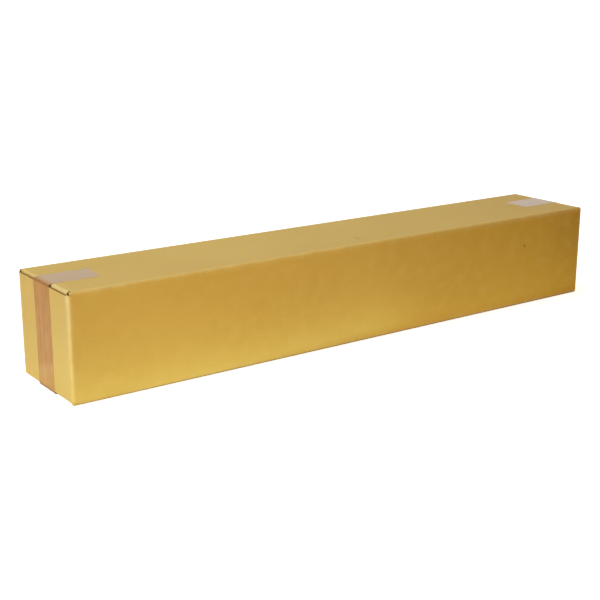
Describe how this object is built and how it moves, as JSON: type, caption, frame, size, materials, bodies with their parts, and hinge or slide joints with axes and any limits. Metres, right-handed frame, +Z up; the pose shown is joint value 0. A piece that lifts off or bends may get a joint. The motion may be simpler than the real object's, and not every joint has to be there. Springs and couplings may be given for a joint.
{
  "type": "long shipping box",
  "caption": "Long square end-opening corrugated cardboard shipping carton with its end flaps folded shut and taped.",
  "frame": {"origin": "middle of the footprint, on the surface the carton stands on", "axes": "+X along the carton's length, towards its right end seen from the front; -Y is the front; +Z up"},
  "size_m": [0.9802, 0.158, 0.1552],
  "materials": {
    "cardboard": "matt kraft liner with faint flute lines",
    "packing_tape": "glossy tan film"
  },
  "bodies": {
    "root": {"carton": "cardboard", "left_end_tape": "packing_tape", "right_end_tape": "packing_tape"}
  },
  "joints": []
}
